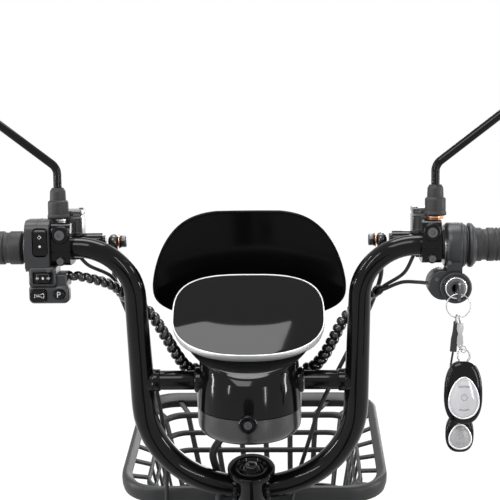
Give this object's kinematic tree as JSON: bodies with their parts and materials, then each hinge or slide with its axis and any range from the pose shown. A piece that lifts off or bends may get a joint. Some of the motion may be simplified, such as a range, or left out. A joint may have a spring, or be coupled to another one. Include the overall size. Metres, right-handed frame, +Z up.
{
  "type": "electric bicycle",
  "caption": "Fat-tyred electric bicycle with a U-shaped handlebar, oval dash, front basket, brake levers, mirrors, twist throttle, key lock, rack and centre stand.",
  "frame": {"origin": "on the floor under the middle of the bounding box", "axes": "+Y forwards, +X to the rider's right, +Z up"},
  "size_m": [0.78, 1.7448, 1.3248],
  "materials": {
    "basket_plastic": "matte dark grey moulding",
    "black_leather": "black synthetic leather",
    "black_plastic": "lightly grained black plastic",
    "bright_metal": "bright plated metal",
    "cast_alloy": "black cast alloy",
    "clear_lens": "clear lamp lens",
    "gloss_black_paint": "gloss black paint",
    "gloss_black_plastic": "polished black plastic",
    "red_lens": "red lamp lens",
    "rubber": "matte black rubber",
    "satin_black_paint": "satin black paint",
    "screen_glass": "black glossy screen cover",
    "steel": "plain steel",
    "tyre_rubber": "matte black rubber"
  },
  "bodies": {
    "frame": {"main_frame": "gloss_black_paint", "battery_case": "black_plastic", "rear_rack": "satin_black_paint", "rear_fender": "gloss_black_paint", "tail_light": "red_lens", "rear_caliper": "satin_black_paint", "rear_axle": "steel", "chain": "steel"},
    "steering": {"fork_crown": "gloss_black_paint", "handlebar": "gloss_black_paint", "grip_left": "rubber", "switch_housing": "black_plastic", "master_cylinder_left": "satin_black_paint", "master_cylinder_right": "satin_black_paint", "mirror_boot_left": "rubber", "mirror_boot_right": "rubber", "throttle_housing": "black_plastic", "lamp_housing": "gloss_black_plastic", "dash_bezel": "bright_metal", "dash_screen": "screen_glass", "headlamp_lens": "clear_lens", "visor": "gloss_black_plastic", "basket": "basket_plastic", "left_loom": "rubber", "right_loom": "rubber", "main_loom": "rubber", "rear_brake_hose": "rubber", "front_brake_hose": "rubber"},
    "fork_legs": {"fork_lowers": "gloss_black_paint", "front_axle": "steel", "front_fender": "gloss_black_paint", "front_caliper": "satin_black_paint"},
    "front_wheel": {"front_wheel": "cast_alloy", "front_tyre": "tyre_rubber", "front_disc": "steel"},
    "rear_wheel": {"rear_wheel": "cast_alloy", "rear_tyre": "tyre_rubber", "rear_disc": "steel"},
    "sprocket": {"rear_sprocket": "steel"},
    "cranks": {"crankset": "satin_black_paint"},
    "pedal_left": {"pedal_left": "black_plastic"},
    "pedal_right": {"pedal_right": "black_plastic"},
    "stand": {"center_stand": "satin_black_paint"},
    "saddle": {"saddle_base": "satin_black_paint", "saddle_cushion": "black_leather"},
    "lever_left": {"brake_lever_left": "satin_black_paint"},
    "lever_right": {"brake_lever_right": "satin_black_paint"},
    "throttle": {"throttle_grip": "rubber"},
    "beam_rocker": {"beam_rocker": "gloss_black_plastic"},
    "turn_switch": {"turn_switch": "gloss_black_plastic"},
    "horn_button": {"horn_button": "gloss_black_plastic"},
    "parking_button": {"parking_button": "gloss_black_plastic"},
    "key": {"key": "bright_metal"},
    "key_ring": {"key_ring": "bright_metal"},
    "fob_a": {"remote_fob_a": "gloss_black_plastic"},
    "fob_b": {"remote_fob_b": "gloss_black_plastic"},
    "mirror_arm_left": {"mirror_arm_left": "gloss_black_paint"},
    "mirror_arm_right": {"mirror_arm_right": "gloss_black_paint"},
    "mirror_head_left": {"mirror_head_left": "black_plastic"},
    "mirror_head_right": {"mirror_head_right": "black_plastic"}
  },
  "joints": [
    {"name": "steering", "type": "hinge", "parent": "frame", "child": "steering", "pos_m": [0, 0.41146, 0.67078], "axis": [0, -0.309, 0.9511], "range_deg": [-40, 40], "deforming": ["main_loom", "rear_brake_hose"]},
    {"name": "fork_travel", "type": "slide", "parent": "steering", "child": "fork_legs", "axis": [0, -0.309, 0.9511], "range_m": [0, 0.04], "stiffness_N_per_m": 6000, "springref_m": -0.04, "deforming": ["front_brake_hose"]},
    {"name": "front_spin", "type": "hinge", "parent": "fork_legs", "child": "front_wheel", "pos_m": [0, 0.5825, 0.29], "axis": [1, 0, 0], "continuous": true},
    {"name": "rear_spin", "type": "hinge", "parent": "frame", "child": "rear_wheel", "pos_m": [0, -0.5575, 0.29], "axis": [1, 0, 0], "continuous": true},
    {"name": "crank_spin", "type": "hinge", "parent": "frame", "child": "cranks", "pos_m": [0, -0.0975, 0.3], "axis": [1, 0, 0], "continuous": true, "deforming": ["chain"]},
    {"name": "sprocket_spin", "type": "hinge", "parent": "frame", "child": "sprocket", "pos_m": [0, -0.5575, 0.29], "axis": [1, 0, 0], "continuous": true},
    {"name": "pedal_spin_left", "type": "hinge", "parent": "cranks", "child": "pedal_left", "pos_m": [0, -0.2625, 0.3], "axis": [1, 0, 0], "continuous": true},
    {"name": "pedal_spin_right", "type": "hinge", "parent": "cranks", "child": "pedal_right", "pos_m": [0, 0.0675, 0.3], "axis": [1, 0, 0], "continuous": true},
    {"name": "stand_fold", "type": "hinge", "parent": "frame", "child": "stand", "pos_m": [0, -0.1545, 0.183], "axis": [1, 0, 0], "range_deg": [-80, 0]},
    {"name": "seat_height", "type": "slide", "parent": "frame", "child": "saddle", "axis": [0, -0.2924, 0.9563], "range_m": [-0.06, 0.1]},
    {"name": "lever_left_pull", "type": "hinge", "parent": "steering", "child": "lever_left", "pos_m": [-0.1935, 0.32593, 1.09714], "axis": [0, 0, 1], "range_deg": [0, 14], "stiffness_Nm_per_rad": 2, "springref_deg": -17.19},
    {"name": "lever_right_pull", "type": "hinge", "parent": "steering", "child": "lever_right", "pos_m": [0.1935, 0.32593, 1.09714], "axis": [0, 0, -1], "range_deg": [0, 14], "stiffness_Nm_per_rad": 2, "springref_deg": -17.19},
    {"name": "throttle_twist", "type": "hinge", "parent": "steering", "child": "throttle", "pos_m": [0, 0.27293, 1.09714], "axis": [1, 0, 0], "range_deg": [0, 70], "stiffness_Nm_per_rad": 0.3, "springref_deg": -22.92},
    {"name": "beam_rock", "type": "hinge", "parent": "steering", "child": "beam_rocker", "pos_m": [-0.21975, 0.24943, 1.10504], "axis": [1, 0, 0], "range_deg": [-6, 6]},
    {"name": "turn_slide", "type": "slide", "parent": "steering", "child": "turn_switch", "axis": [1, 0, 0], "range_m": [-0.003, 0.003]},
    {"name": "horn_press", "type": "slide", "parent": "steering", "child": "horn_button", "axis": [0, 1, 0], "range_m": [0, 0.0015], "stiffness_N_per_m": 900, "springref_m": -0.001},
    {"name": "parking_press", "type": "slide", "parent": "steering", "child": "parking_button", "axis": [0, 1, 0], "range_m": [0, 0.0015], "stiffness_N_per_m": 900, "springref_m": -0.001},
    {"name": "key_turn", "type": "hinge", "parent": "steering", "child": "key", "pos_m": [0.2218, 0.27293, 1.05354], "axis": [0, 1, 0], "range_deg": [0, 45]},
    {"name": "ring_swing", "type": "hinge", "parent": "key", "child": "key_ring", "pos_m": [0.2218, 0.23243, 1.05024], "axis": [1, 0, 0], "range_deg": [-15, 15]},
    {"name": "fob_a_swing", "type": "hinge", "parent": "key_ring", "child": "fob_a", "pos_m": [0.22197, 0.23243, 1.02264], "axis": [0, 1, 0], "range_deg": [-8, 4]},
    {"name": "fob_b_swing", "type": "hinge", "parent": "key_ring", "child": "fob_b", "pos_m": [0.21459, 0.23243, 1.02468], "axis": [0, 1, 0], "range_deg": [-4, 8]},
    {"name": "mirror_swivel_left", "type": "hinge", "parent": "steering", "child": "mirror_arm_left", "pos_m": [-0.203, 0.28293, 1.11064], "axis": [0, 0, 1], "range_deg": [-20, 20]},
    {"name": "mirror_tilt_left", "type": "hinge", "parent": "mirror_arm_left", "child": "mirror_head_left", "pos_m": [-0.322, 0.28293, 1.27346], "axis": [1, 0, 0], "range_deg": [-12, 12]},
    {"name": "mirror_swivel_right", "type": "hinge", "parent": "steering", "child": "mirror_arm_right", "pos_m": [0.203, 0.28293, 1.11064], "axis": [0, 0, 1], "range_deg": [-20, 20]},
    {"name": "mirror_tilt_right", "type": "hinge", "parent": "mirror_arm_right", "child": "mirror_head_right", "pos_m": [0.322, 0.28293, 1.27346], "axis": [1, 0, 0], "range_deg": [-12, 12]}
  ],
  "couplings": [
    {"joint": "sprocket_spin", "follows": "crank_spin", "ratio": 2.5556}
  ]
}
